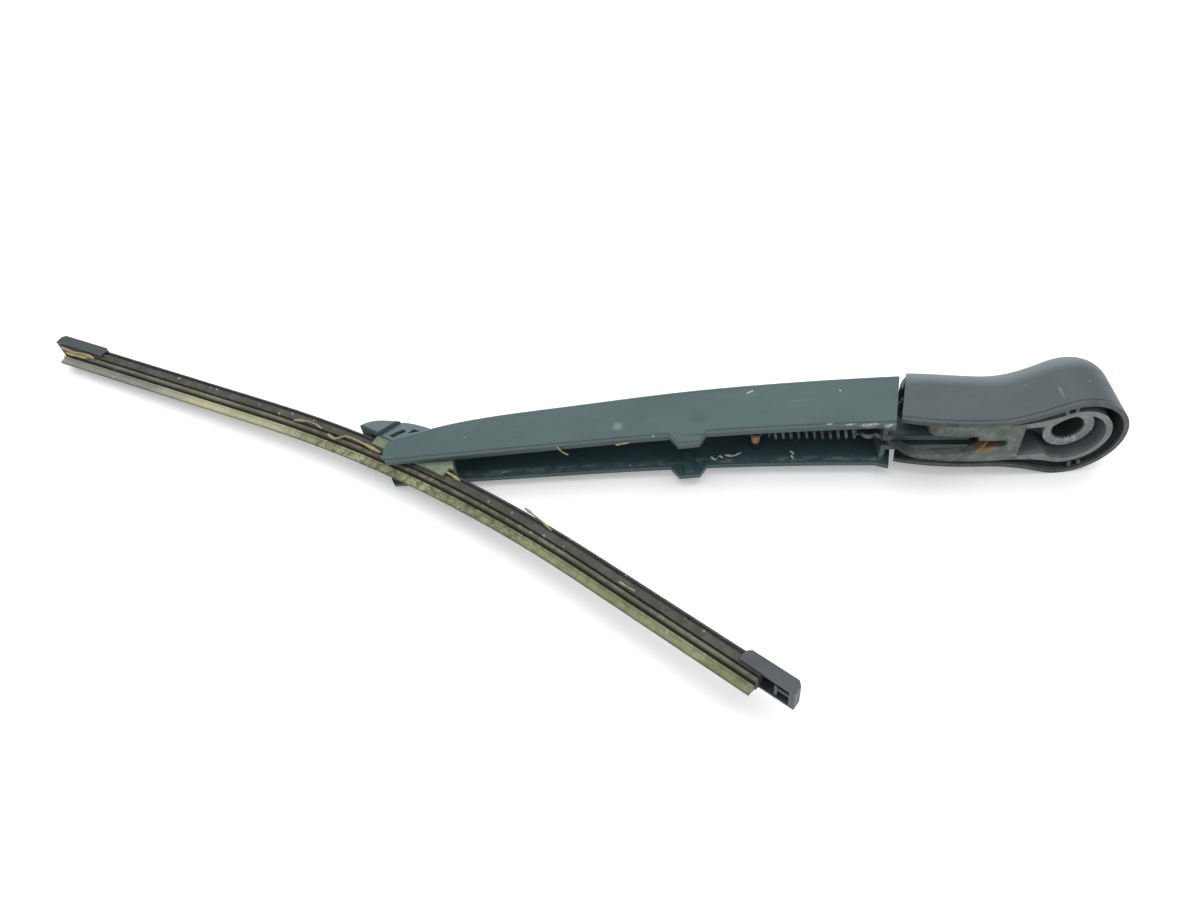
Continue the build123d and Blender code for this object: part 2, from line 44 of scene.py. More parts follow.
class Tree:
    # Adds nodes to one node tree and joins them up
    def __init__(self, tree):
        self.tree = tree

    def new(self, kind):
        return self.tree.nodes.new(kind)

    def join(self, source, target):
        self.tree.links.new(source, target)

    def feed(self, socket, value):
        # A number or colour is set on the socket, an output is joined to it
        if isinstance(value, (int, float, tuple)):
            socket.default_value = value
        else:
            self.join(value, socket)

    def math(self, operation, a, b, clamp=False):
        node = self.new("ShaderNodeMath")
        node.operation = operation
        node.use_clamp = clamp
        self.feed(node.inputs[0], a)
        self.feed(node.inputs[1], b)
        return node.outputs[0]

    def plus(self, a, b, clamp=False):
        return self.math("ADD", a, b, clamp)

    def minus(self, a, b):
        return self.math("SUBTRACT", a, b)

    def times(self, a, b):
        return self.math("MULTIPLY", a, b)

    def over(self, a, b):
        return self.math("DIVIDE", a, b)

    def most(self, a, b):
        return self.math("MAXIMUM", a, b)

    def least(self, a, b):
        return self.math("MINIMUM", a, b)

    def single(self, operation, value):
        node = self.new("ShaderNodeMath")
        node.operation = operation
        self.feed(node.inputs[0], value)
        return node.outputs[0]

    def ramp(self, value, low, high):
        node = self.new("ShaderNodeMapRange")
        node.interpolation_type = "SMOOTHSTEP"
        node.inputs["From Min"].default_value = low
        node.inputs["From Max"].default_value = high
        self.join(value, node.inputs["Value"])
        return node.outputs["Result"]

    def band(self, value, rise, fall):
        return self.times(self.ramp(value, *rise), self.ramp(value, *fall))

    def mix(self, share, under, over):
        node = self.new("ShaderNodeMix")
        node.data_type = "RGBA"
        for slot, value in ((0, share), (6, under), (7, over)):
            self.feed(node.inputs[slot], value)
        return node.outputs[2]

    def tint(self, color, mask, share, over):
        return self.mix(self.times(mask, share), color, over)

    def noise(self, vector, scale, detail=4.0, rough=0.55):
        node = self.new("ShaderNodeTexNoise")
        node.inputs["Scale"].default_value = scale
        node.inputs["Detail"].default_value = detail
        node.inputs["Roughness"].default_value = rough
        self.join(vector, node.inputs["Vector"])
        return node.outputs["Fac"]

    def place(self, vector, move=(0, 0, 0), turn=(0, 0, 0), scale=(1, 1, 1)):
        node = self.new("ShaderNodeMapping")
        node.inputs["Location"].default_value = move
        node.inputs["Rotation"].default_value = turn
        node.inputs["Scale"].default_value = scale
        self.join(vector, node.inputs["Vector"])
        return node.outputs[0]

    def split(self, vector):
        node = self.new("ShaderNodeSeparateXYZ")
        self.join(vector, node.inputs[0])
        return node.outputs

    def length(self, vector):
        node = self.new("ShaderNodeVectorMath")
        node.operation = "LENGTH"
        self.join(vector, node.inputs[0])
        return node.outputs["Value"]


def newMaterial(name):
    material = bpy.data.materials.new(name)
    material.use_nodes = True
    t = Tree(material.node_tree)
    shader = material.node_tree.nodes["Principled BSDF"]
    at = t.new("ShaderNodeTexCoord").outputs["Object"]
    return material, t, shader, at


def finishMaterial(t, shader, color, rough, height, bump, reach):
    t.join(color, shader.inputs["Base Color"])
    t.feed(shader.inputs["Roughness"], rough)
    node = t.new("ShaderNodeBump")
    node.inputs["Strength"].default_value = bump
    node.inputs["Distance"].default_value = reach
    t.join(height, node.inputs["Height"])
    t.join(node.outputs[0], shader.inputs["Normal"])


def dress(node, material):
    mesh = nodes[node].data
    mesh.materials.clear()
    mesh.materials.append(material)


# Effects that several finishes share
def newGroup(name, inputs, outputs):
    # Every group takes a place, then its own numbers
    group = bpy.data.node_groups.new(name, "ShaderNodeTree")
    group.interface.new_socket("Vector", in_out="INPUT", socket_type="NodeSocketVector")
    for label, value in inputs.items():
        socket = group.interface.new_socket(label, in_out="INPUT", socket_type="NodeSocketFloat")
        socket.default_value = value
    for label in outputs:
        group.interface.new_socket(label, in_out="OUTPUT", socket_type="NodeSocketFloat")
    t = Tree(group)
    source = t.new("NodeGroupInput").outputs
    sink = t.new("NodeGroupOutput").inputs
    return group, t, source, sink


grainSet = {
    "detail": 3.0, "cloudStretch": (0.55, 1, 1), "cloudScale": 70, "cloudDetail": 5.0,
    "cloudRough": 0.6, "cloudFade": (0.3, 0.7),
}


def buildGrain():
    # Fine moulded grain and slow clouding of the colour
    group, t, source, sink = newGroup("surfaceGrain", {"Scale": 900.0}, ("Height", "Cloud"))
    fine = t.new("ShaderNodeTexNoise")
    fine.inputs["Detail"].default_value = grainSet["detail"]
    t.join(source["Vector"], fine.inputs["Vector"])
    t.join(source["Scale"], fine.inputs["Scale"])
    stretched = t.place(source["Vector"], scale=grainSet["cloudStretch"])
    cloud = t.noise(
        stretched, grainSet["cloudScale"], grainSet["cloudDetail"], grainSet["cloudRough"]
    )
    t.join(fine.outputs["Fac"], sink["Height"])
    t.join(t.ramp(cloud, *grainSet["cloudFade"]), sink["Cloud"])
    return group


def buildSpecks():
    # Scattered pale specks, each cell has one or none
    group, t, source, sink = newGroup(
        "paleSpecks", {"Scale": 160.0, "Share": 0.1, "Size": 0.12}, ("Mask",)
    )
    warp = t.new("ShaderNodeTexNoise")
    warp.inputs["Scale"].default_value = 700.0
    t.join(source["Vector"], warp.inputs["Vector"])
    cells = t.new("ShaderNodeTexVoronoi")
    t.join(source["Vector"], cells.inputs["Vector"])
    t.join(source["Scale"], cells.inputs["Scale"])
    parts = t.new("ShaderNodeSeparateColor")
    t.join(cells.outputs["Color"], parts.inputs["Color"])
    chosen = t.math("LESS_THAN", parts.outputs[0], source["Share"])
    reach = t.times(source["Size"], t.plus(warp.outputs["Fac"], parts.outputs[1]))
    near = t.math("LESS_THAN", cells.outputs["Distance"], reach)
    t.join(t.times(chosen, near), sink["Mask"])
    return group


grimeSet = {
    "detail": 7.0, "rough": 0.68, "distort": 0.4, "edge": 0.86, "amount": 0.6, "sharp": 6.0,
}


def buildGrime():
    # Layered patches of dirt
    group, t, source, sink = newGroup("grimePatches", {"Scale": 120.0, "Amount": 0.5}, ("Mask",))
    wide = t.new("ShaderNodeTexNoise")
    wide.inputs["Detail"].default_value = grimeSet["detail"]
    wide.inputs["Roughness"].default_value = grimeSet["rough"]
    wide.inputs["Distortion"].default_value = grimeSet["distort"]
    t.join(source["Vector"], wide.inputs["Vector"])
    t.join(source["Scale"], wide.inputs["Scale"])
    edge = t.minus(grimeSet["edge"], t.times(source["Amount"], grimeSet["amount"]))
    lift = t.times(t.minus(wide.outputs["Fac"], edge), grimeSet["sharp"])
    t.join(t.plus(lift, 0.5, clamp=True), sink["Mask"])
    return group


scratchSet = {
    "turn": (0.2, 0.3, 0.12), "stretch": (30, 900, 900), "line": (0.71, 0.76),
    "breakScale": 90, "breaks": (0.5, 0.62),
}


def buildScratches():
    # Thin pale lines, mostly along the arm
    group, t, source, sink = newGroup("fineScratches", {"Amount": 0.3}, ("Mask",))
    turned = t.place(source["Vector"], turn=scratchSet["turn"], scale=scratchSet["stretch"])
    line = t.ramp(t.noise(turned, 1.0, 2.0, 0.5), *scratchSet["line"])
    broken = t.noise(source["Vector"], scratchSet["breakScale"], 3.0)
    part = t.ramp(broken, *scratchSet["breaks"])
    t.join(t.times(t.times(line, part), source["Amount"]), sink["Mask"])
    return group


# The blade's own curve, as in the solids, in metres
bladeSet = {
    "pivot": (-0.2376, 0.0222), "rock": math.radians(33.6), "curve": 0.579, "drop": 0.0029,
    "arcLeft": 0.067, "arcRight": 0.087,
}


def buildBladeDepth():
    # Distance below the back of the spine, and place along the blade
    group, t, source, sink = newGroup("bladeDepth", {}, ("Depth", "Along"))
    pivot = bladeSet["pivot"]
    moved = t.place(source["Vector"], move=(-pivot[0], -pivot[1], 0))
    turned = t.place(moved, turn=(0, 0, bladeSet["rock"]))
    along, height, _ = t.split(turned)
    held = t.least(t.most(along, -bladeSet["arcLeft"]), bladeSet["arcRight"])
    radius = bladeSet["curve"]
    rise = t.single("SQRT", t.minus(radius * radius, t.times(held, held)))
    slope = t.over(held, rise)
    past = t.times(slope, t.minus(along, held))
    back = t.minus(t.minus(rise, radius + bladeSet["drop"]), past)
    t.join(t.minus(back, height), sink["Depth"])
    t.join(along, sink["Along"])
    return group


groups = {
    "grain": buildGrain(),
    "specks": buildSpecks(),
    "grime": buildGrime(),
    "scratches": buildScratches(),
    "depth": buildBladeDepth(),
}
print("shared effects built")


def use(t, group, at, **values):
    node = t.new("ShaderNodeGroup")
    node.node_tree = groups[group]
    t.join(at, node.inputs["Vector"])
    for name, value in values.items():
        node.inputs[name].default_value = value
    return node.outputs


def facingBack(t, at):
    # How far the surface turns to the back, from -1 to 1
    return t.split(at.node.outputs["Normal"])[1]


spotSet = {"scale": 420, "detail": 5.0, "rough": 0.65, "ragged": 1.1}


def spot(t, at, center, reach, soft, stretch=(1, 1, 1)):
    # Ragged round patch about a point, in metres
    moved = t.place(at, move=tuple(-c * s for c, s in zip(center, stretch)), scale=stretch)
    away = t.length(moved)
    grain = t.noise(at, spotSet["scale"], spotSet["detail"], spotSet["rough"])
    ragged = t.times(t.minus(grain, 0.5), reach * spotSet["ragged"])
    return t.ramp(t.plus(away, ragged), reach + soft, reach - soft)


shellLook = {
    "color": srgb(68, 84, 85), "dark": srgb(60, 76, 77), "grain": 1500.0,
    "dustColor": srgb(104, 114, 113), "dustScale": 55.0, "dust": 0.42, "dustShow": 0.3,
    "pale": srgb(190, 200, 198), "scratch": 0.25, "specks": 0.07, "speckShow": 0.75,
    "smallScale": 230.0, "smallSize": 0.09, "largeScale": 85.0, "largeSize": 0.07,
    # edge, edgeShow and edgeFade set a painted highlight where the surface turns over to the back
    "edge": srgb(134, 146, 146), "edgeShow": 0.85, "edgeFade": (0.25, 0.8),
    "rough": 0.5, "dustRough": 0.2, "bump": 0.14, "reach": 0.00012,
}


def wornShell(name, look):
    # Satin shell finish: clouded colour, dust, pale specks, scratches and a painted highlight on
    # the back
    material, t, shader, at = newMaterial(name)
    grain = use(t, "grain", at, Scale=look["grain"])
    color = t.mix(grain["Cloud"], look["dark"], look["color"])
    dust = use(t, "grime", at, Scale=look["dustScale"], Amount=look["dust"])["Mask"]
    color = t.tint(color, dust, look["dustShow"], look["dustColor"])
    lines = use(t, "scratches", at, Amount=look["scratch"])["Mask"]
    color = t.mix(lines, color, look["pale"])
    small = use(
        t, "specks", at, Scale=look["smallScale"], Share=look["specks"], Size=look["smallSize"]
    )["Mask"]
    large = use(
        t, "specks", at, Scale=look["largeScale"], Share=look["specks"] * 0.5,
        Size=look["largeSize"]
    )["Mask"]
    color = t.tint(color, t.most(small, large), look["speckShow"], look["pale"])
    # Painted highlight: paler where the surface turns over to the back, towards the light
    turned = t.ramp(facingBack(t, at), *look["edgeFade"])
    color = t.tint(color, turned, look["edgeShow"], look["edge"])
    rough = t.plus(t.times(dust, look["dustRough"]), look["rough"])
    return material, t, shader, at, color, rough, grain["Height"]


coverSet = {
    "bendAt": -0.02, "bend": 0.0067 / 0.0401 ** 2,
    # The fine line is painted dark as its shade
    "lineRise": (0.0011, 0.0014), "lineFall": (0.0021, 0.0017), "lineShadeShow": 0.85,
    "lineDeep": 3.0, "lineShadeColor": srgb(26, 31, 33),
    # back: a painted highlight towards the back
    "backAt": -0.021, "backSlope": 0.191, "backHeight": 0.0248, "backFade": (0.0085, 0.002),
    "backHighlightShow": 0.85, "backHighlightColor": srgb(126, 138, 139),
    # under: painted shade on the underside
    "underShadeFade": (-0.6, -0.9), "underShadeShow": 0.6, "underShadeColor": srgb(36, 42, 44),
    "rimFade": (0.0014, 0.0002), "rimShow": 0.45, "rimColor": srgb(40, 48, 50),
    "dirtScale": 260.0, "dirt": 0.62, "dirtShow": 0.3, "dirtColor": srgb(98, 104, 100),
    "markAt": (-0.0065, 0.0075, 0.0178), "markReach": 0.0004, "markSoft": 0.0003,
    "markStretch": (1.0, 0.12, 1.0), "markShow": 0.6,
}


def coverFinish():
    s = coverSet
    look = dict(shellLook, color=srgb(70, 83, 85), dark=srgb(63, 76, 78))
    material, t, shader, at, color, rough, height = wornShell("coverPlastic", look)
    x, y, _ = t.split(at)
    run = t.most(t.minus(s["bendAt"], x), 0.0)
    above = t.minus(y, t.times(t.times(run, run), s["bend"]))
    # A fine moulded line runs round just above the rim, painted dark as its shade
    line = t.band(above, s["lineRise"], s["lineFall"])
    color = t.tint(color, line, s["lineShadeShow"], s["lineShadeColor"])
    # Painted highlight: the side turns paler towards the back. Painted shade: the underside is
    # dark
    backRun = t.most(t.minus(s["backAt"], x), 0.0)
    back = t.plus(t.times(backRun, s["backSlope"]), s["backHeight"])
    pale = t.ramp(t.minus(back, y), *s["backFade"])
    color = t.tint(color, pale, s["backHighlightShow"], s["backHighlightColor"])
    under = t.ramp(facingBack(t, at), *s["underShadeFade"])
    color = t.tint(color, under, s["underShadeShow"], s["underShadeColor"])
    # The rim is darker, with dirt on it
    dirt = use(t, "grime", at, Scale=s["dirtScale"], Amount=s["dirt"])["Mask"]
    low = t.ramp(above, *s["rimFade"])
    color = t.tint(color, low, s["rimShow"], s["rimColor"])
    color = t.tint(color, t.times(dirt, low), s["dirtShow"], s["dirtColor"])
    mark = spot(t, at, s["markAt"], s["markReach"], s["markSoft"], s["markStretch"])
    color = t.tint(color, mark, s["markShow"], look["pale"])
    cut = t.minus(height, t.times(line, s["lineDeep"]))
    finishMaterial(t, shader, color, rough, cut, look["bump"], look["reach"])
    return material


armSet = {
    "left": -0.2464, "run": 0.179, "rimScale": 0.02,
    "rimPoints": [(0.0, 0.64), (0.315, 0.59), (0.621, 0.515), (0.829, 0.4), (1.0, 0.26)],
    "tabAt": -0.1353, "tabHalf": 0.0067, "tabSlant": 0.0029, "tabDrop": 0.0047,
    "halfAt": 0.0629, "halfSlope": 0.0233, "half": 0.0113, "wall": (0.0013, 0.0018),
    "backFade": (0.5, 0.2), "headEnd": (-0.0625, -0.0635), "nearHead": (-0.072, -0.067),
    # step: painted shade along the fine step
    "stepRise": (0.0011, 0.0014), "stepFall": (0.0020, 0.0017), "stepShadeShow": 0.85,
    "stepShadeColor": srgb(26, 34, 36),
    "rimFade": (0.0015, 0.0011), "rimShow": 0.35, "rimColor": srgb(46, 60, 62),
    # inside: painted bluish shade in the channel
    "insideShadeShow": 0.88, "insideShadeColor": srgb(50, 72, 82),
    "nearShow": 0.9, "nearColor": srgb(58, 67, 68),
    "lowFade": (-0.003, -0.0055), "lowShow": 0.5, "lowColor": srgb(72, 98, 98),
    "crustStretch": (0.45, 1, 1), "crustScale": 420.0, "crust": 0.52,
    "crustRise": (0.0004, 0.0012), "crustFall": (0.0042, 0.0024), "crustShow": 0.75,
    "crustColor": srgb(128, 146, 142),
    "speckScale": 420.0, "speckShare": 0.12, "speckSize": 0.16, "speckShow": 0.8,
    "speckColor": srgb(205, 212, 206),
    "smudgeSoft": 0.7,
    "smudges": [
        ((-0.1602, 0.0182, 0.0091), 0.0016, 0.35, srgb(150, 168, 158)),
        ((-0.1304, 0.0178, 0.0097), 0.0026, 0.4, srgb(44, 60, 64)),
    ],
    "flakeScale": 1700, "flakeFade": (0.44, 0.58), "scuffSoft": 0.5, "scuffShow": 0.75,
    "scuffColor": srgb(196, 206, 206),
    "scuffs": [
        ((-0.0715, 0.0058, 0.0112), 0.0006, (0.2, 1.0, 0.6)),
        ((-0.0655, 0.0046, 0.0112), 0.0005, (0.25, 1.0, 0.6)),
        ((-0.0780, 0.0070, 0.0110), 0.0004, (0.25, 1.0, 0.6)),
        ((-0.0850, 0.0082, 0.0107), 0.0003, (0.25, 1.0, 0.6)),
    ],
    "bump": 0.12,
}


def armRimHeight(t, x):
    # Height of the rim along the arm, without the guide tab
    curve = t.new("ShaderNodeFloatCurve")
    points = curve.mapping.curves[0].points
    wanted = armSet["rimPoints"]
    for point in wanted[1:-1]:
        points.new(*point)
    points[0].location = wanted[0]
    points[-1].location = wanted[-1]
    curve.mapping.update()
    t.join(t.over(t.minus(x, armSet["left"]), armSet["run"]), curve.inputs["Value"])
    return t.times(curve.outputs[0], armSet["rimScale"])


def armFinish():
    s = armSet
    look = dict(shellLook, color=srgb(66, 89, 89), dark=srgb(58, 81, 82), dustScale=38.0)
    material, t, shader, at, color, rough, height = wornShell("armPaint", look)
    x, y, z = t.split(at)
    half = t.plus(t.times(t.plus(x, s["halfAt"]), s["halfSlope"]), s["half"])
    inside = t.ramp(t.minus(half, t.single("ABSOLUTE", z)), *s["wall"])
    inside = t.times(inside, t.ramp(facingBack(t, at), *s["backFade"]))
    inside = t.times(inside, t.ramp(x, *s["headEnd"]))
    outer = t.minus(1.0, inside)
    # A fine step runs above the rim and round the guide tab, painted dark as its shade, and the
    # rim is darker
    above = t.minus(y, armRimHeight(t, x))
    fromTab = t.single("ABSOLUTE", t.minus(x, s["tabAt"]))
    slant = t.over(t.minus(s["tabHalf"], fromTab), s["tabSlant"])
    slant = t.least(t.most(slant, 0.0), 1.0)
    aboveEdge = t.plus(above, t.times(slant, s["tabDrop"]))
    step = t.band(aboveEdge, s["stepRise"], s["stepFall"])
    rim = t.ramp(aboveEdge, *s["rimFade"])
    color = t.tint(color, t.times(rim, outer), s["rimShow"], s["rimColor"])
    color = t.tint(color, t.times(step, outer), s["stepShadeShow"], s["stepShadeColor"])
    # Painted shade: the channel is darker and bluer, and greyer near the head
    color = t.tint(color, inside, s["insideShadeShow"], s["insideShadeColor"])
    nearHead = t.times(inside, t.ramp(x, *s["nearHead"]))
    color = t.tint(color, nearHead, s["nearShow"], s["nearColor"])
    # The lower inner wall is lighter, with pale dried dirt and specks on a band of it
    stretched = t.place(at, scale=s["crustStretch"])
    crust = use(t, "grime", stretched, Scale=s["crustScale"], Amount=s["crust"])["Mask"]
    lowWall = t.times(inside, t.ramp(z, *s["lowFade"]))
    color = t.tint(color, lowWall, s["lowShow"], s["lowColor"])
    floorBand = t.times(lowWall, t.band(above, s["crustRise"], s["crustFall"]))
    color = t.tint(color, t.times(crust, floorBand), s["crustShow"], s["crustColor"])
    specks = use(
        t, "specks", at, Scale=s["speckScale"], Share=s["speckShare"], Size=s["speckSize"]
    )["Mask"]
    color = t.tint(color, t.times(specks, floorBand), s["speckShow"], s["speckColor"])
    # Two faint smudges on the outer side
    for center, reach, share, shade in s["smudges"]:
        smudge = spot(t, at, center, reach, reach * s["smudgeSoft"])
        color = t.tint(color, smudge, share, shade)
    # Scuffed paint at the rim near the head
    flaked = t.ramp(t.noise(at, s["flakeScale"], 3.0, 0.6), *s["flakeFade"])
    for center, reach, stretch in s["scuffs"]:
        scuff = t.times(spot(t, at, center, reach, reach * s["scuffSoft"], stretch), flaked)
        color = t.tint(color, scuff, s["scuffShow"], s["scuffColor"])
    finishMaterial(t, shader, color, rough, height, s["bump"], look["reach"])
    return material


rustSet = {
    "center": (-0.0305, 0.0012, -0.0016), "reach": 0.003, "soft": 0.0016,
    "stretch": (0.75, 0.6, 1.0), "show": 0.9, "scale": 900,
    "bright": srgb(152, 106, 48), "deep": srgb(98, 72, 42),
}


def rustPatch(t, at, color):
    # One patch of rust that crosses the casting, the link and its pin
    s = rustSet
    mask = spot(t, at, s["center"], s["reach"], s["soft"], s["stretch"])
    shade = t.mix(t.noise(at, s["scale"]), s["deep"], s["bright"])
    return t.tint(color, mask, s["show"], shade)


castSet = {
    "grain": 700.0, "dark": srgb(88, 96, 92), "light": srgb(108, 116, 111),
    "stainScale": 150.0, "stain": 0.55, "stainShow": 0.55, "stainColor": srgb(72, 74, 64),
    "bloomMove": (3.1, 1.7, 0.4), "bloomScale": 330.0, "bloom": 0.48, "bloomShow": 0.4,
    "bloomColor": srgb(150, 156, 150),
    # pocketShade: painted bluish shade in the pocket
    "deepFade": (0.0016, 0.006), "deepEnd": (-0.0225, -0.0185), "pocketShadeShow": 0.75,
    "pocketShadeColor": srgb(90, 106, 116),
    "hubEnd": (-0.0185, -0.0165), "hubFade": (0.0032, 0.0018), "hubShow": 0.4,
    "hubColor": srgb(138, 150, 152),
    "crownReach": (0.0092, 0.0086), "crownFade": (0.0075, 0.0053), "crownShow": 0.75,
    "crownDark": srgb(142, 150, 146), "crownLight": srgb(214, 218, 212),
    # hole: painted shade in the boss's hole
    "holeReach": (0.0064, 0.0058), "holeFade": (0.0056, 0.0068), "holeShadeShow": 0.75,
    "holeShadeColor": srgb(48, 54, 50),
    "rough": 0.58, "stainRough": 0.15, "stainHeight": 0.8, "metallic": 0.15,
    "bump": 0.35, "reach": 0.00025,
}


def castFinish():
    s = castSet
    material, t, shader, at = newMaterial("castZinc")
    grain = use(t, "grain", at, Scale=s["grain"])
    color = t.mix(grain["Cloud"], s["dark"], s["light"])
    stain = use(t, "grime", at, Scale=s["stainScale"], Amount=s["stain"])["Mask"]
    color = t.tint(color, stain, s["stainShow"], s["stainColor"])
    moved = t.place(at, move=s["bloomMove"])
    bloom = use(t, "grime", moved, Scale=s["bloomScale"], Amount=s["bloom"])["Mask"]
    color = t.tint(color, bloom, s["bloomShow"], s["bloomColor"])
    # Painted shade: the pocket is bluer. The hub's rim is paler
    x, y, _ = t.split(at)
    deep = t.times(t.ramp(y, *s["deepFade"]), t.ramp(x, *s["deepEnd"]))
    color = t.tint(color, deep, s["pocketShadeShow"], s["pocketShadeColor"])
    hub = t.times(t.ramp(x, *s["hubEnd"]), t.ramp(y, *s["hubFade"]))
    color = t.tint(color, hub, s["hubShow"], s["hubColor"])
    # The boss is crusted at its crown, and its hole is painted dark as its shade
    away = t.length(t.place(at, scale=(1, 0, 1)))
    crown = t.times(t.ramp(away, *s["crownReach"]), t.ramp(y, *s["crownFade"]))
    crust = t.mix(bloom, s["crownDark"], s["crownLight"])
    color = t.tint(color, crown, s["crownShow"], crust)
    holeShade = t.times(t.ramp(away, *s["holeReach"]), t.ramp(y, *s["holeFade"]))
    color = t.tint(color, holeShade, s["holeShadeShow"], s["holeShadeColor"])
    color = rustPatch(t, at, color)
    rough = t.plus(t.times(stain, s["stainRough"]), s["rough"])
    height = t.plus(grain["Height"], t.times(stain, s["stainHeight"]))
    shader.inputs["Metallic"].default_value = s["metallic"]
    finishMaterial(t, shader, color, rough, height, s["bump"], s["reach"])
    return material


metalSet = {
    "grain": 1100.0, "stainScale": 300.0, "stain": 0.5, "stainShow": 0.8, "stainRough": 0.25,
    "bump": 0.2, "reach": 0.0001,
}


def metalFinish(name, color, dark, rough, metallic, rusty=False):
    s = metalSet
    material, t, shader, at = newMaterial(name)
    grain = use(t, "grain", at, Scale=s["grain"])
    stain = use(t, "grime", at, Scale=s["stainScale"], Amount=s["stain"])["Mask"]
    shade = t.tint(t.mix(grain["Cloud"], color, dark), stain, s["stainShow"], dark)
    if rusty:
        shade = rustPatch(t, at, shade)
    shader.inputs["Metallic"].default_value = metallic
    roughness = t.plus(t.times(stain, s["stainRough"]), rough)
    finishMaterial(t, shader, shade, roughness, grain["Height"], s["bump"], s["reach"])
    return material


anchorSet = {
    "center": (-0.1095, 0.0163, -0.003), "reach": 0.0022, "soft": 0.0008,
    "steel": srgb(30, 36, 38), "deep": srgb(104, 74, 38), "bright": srgb(206, 168, 108),
    "scale": 900, "bumpScale": 800, "rough": 0.7, "bump": 0.3, "distance": 0.0002,
}


def anchorFinish():
    # Dark pin, rusty round the hook of the spring
    s = anchorSet
    material, t, shader, at = newMaterial("anchorSteel")
    mask = spot(t, at, s["center"], s["reach"], s["soft"])
    rust = t.mix(t.noise(at, s["scale"]), s["deep"], s["bright"])
    color = t.mix(mask, s["steel"], rust)
    bumps = t.noise(at, s["bumpScale"])
    finishMaterial(t, shader, color, s["rough"], bumps, s["bump"], s["distance"])
    return material


connectorSet = {
    "grain": 800.0, "dark": srgb(98, 110, 92), "light": srgb(126, 138, 118),
    "dirtScale": 420.0, "dirt": 0.5, "dirtShow": 0.6, "dirtColor": srgb(74, 78, 60),
    "rough": 0.7, "bump": 0.25, "reach": 0.0002,
}


def connectorFinish():
    s = connectorSet
    material, t, shader, at = newMaterial("connectorPlastic")
    grain = use(t, "grain", at, Scale=s["grain"])
    color = t.mix(grain["Cloud"], s["dark"], s["light"])
    dirt = use(t, "grime", at, Scale=s["dirtScale"], Amount=s["dirt"])["Mask"]
    color = t.tint(color, dirt, s["dirtShow"], s["dirtColor"])
    finishMaterial(t, shader, color, s["rough"], grain["Height"], s["bump"], s["reach"])
    return material


fairingSet = {
    "center": (-0.2492, 0.0230, 0.0053), "reach": 0.0022, "soft": 0.0009,
    "stretch": (0.8, 0.8, 0.5), "show": 0.9, "scale": 900,
    "dark": srgb(96, 100, 84), "light": srgb(184, 186, 168),
}


def fairingFinish():
    s = fairingSet
    # edgeShow sets the painted highlight on the back
    look = dict(
        shellLook, color=srgb(88, 108, 110), dark=srgb(80, 100, 102), specks=0.02, edgeShow=0.25
    )
    material, t, shader, at, color, rough, height = wornShell("fairingPlastic", look)
    patch = spot(t, at, s["center"], s["reach"], s["soft"], s["stretch"])
    crumbs = t.mix(t.noise(at, s["scale"], 5.0), s["dark"], s["light"])
    color = t.tint(color, patch, s["show"], crumbs)
    finishMaterial(t, shader, color, rough, height, look["bump"], look["reach"])
    return material


def capFinish(name, color):
    # edgeShow sets the painted highlight on the back
    look = dict(shellLook, color=color, dark=srgb(52, 60, 64), specks=0.03, edgeShow=0.3)
    material, t, shader, _, shade, rough, height = wornShell(name, look)
    finishMaterial(t, shader, shade, rough, height, look["bump"], look["reach"])
    return material


spineSet = {
    "grain": 900.0, "dark": srgb(58, 61, 56), "light": srgb(76, 80, 73),
    "topFade": (0.0011, 0.0008), "topColor": srgb(70, 76, 76),
    "slotRise": (0.00095, 0.0011), "slotFall": (0.0021, 0.0019), "slotShow": 0.9,
    "slotColor": srgb(12, 13, 12),
    "dirtScale": 240.0, "dirt": 0.6, "dirtShow": 0.75, "dirtColor": srgb(48, 46, 30),
    "dustScale": 340.0, "dustShare": 0.3, "dustSize": 0.16, "dustShow": 0.7,
    "dustColor": srgb(160, 156, 136),
    "rough": 0.66, "bump": 0.25, "reach": 0.0002,
}


def spineFinish():
    s = spineSet
    material, t, shader, at = newMaterial("spinePlastic")
    depth = use(t, "depth", at)["Depth"]
    grain = use(t, "grain", at, Scale=s["grain"])
    color = t.mix(grain["Cloud"], s["dark"], s["light"])
    color = t.mix(t.ramp(depth, *s["topFade"]), color, s["topColor"])
    slot = t.band(depth, s["slotRise"], s["slotFall"])
    color = t.tint(color, slot, s["slotShow"], s["slotColor"])
    dirt = use(t, "grime", at, Scale=s["dirtScale"], Amount=s["dirt"])["Mask"]
    color = t.tint(color, dirt, s["dirtShow"], s["dirtColor"])
    dust = use(
        t, "specks", at, Scale=s["dustScale"], Share=s["dustShare"], Size=s["dustSize"]
    )["Mask"]
    color = t.tint(color, dust, s["dustShow"], s["dustColor"])
    finishMaterial(t, shader, color, s["rough"], grain["Height"], s["bump"], s["reach"])
    return material


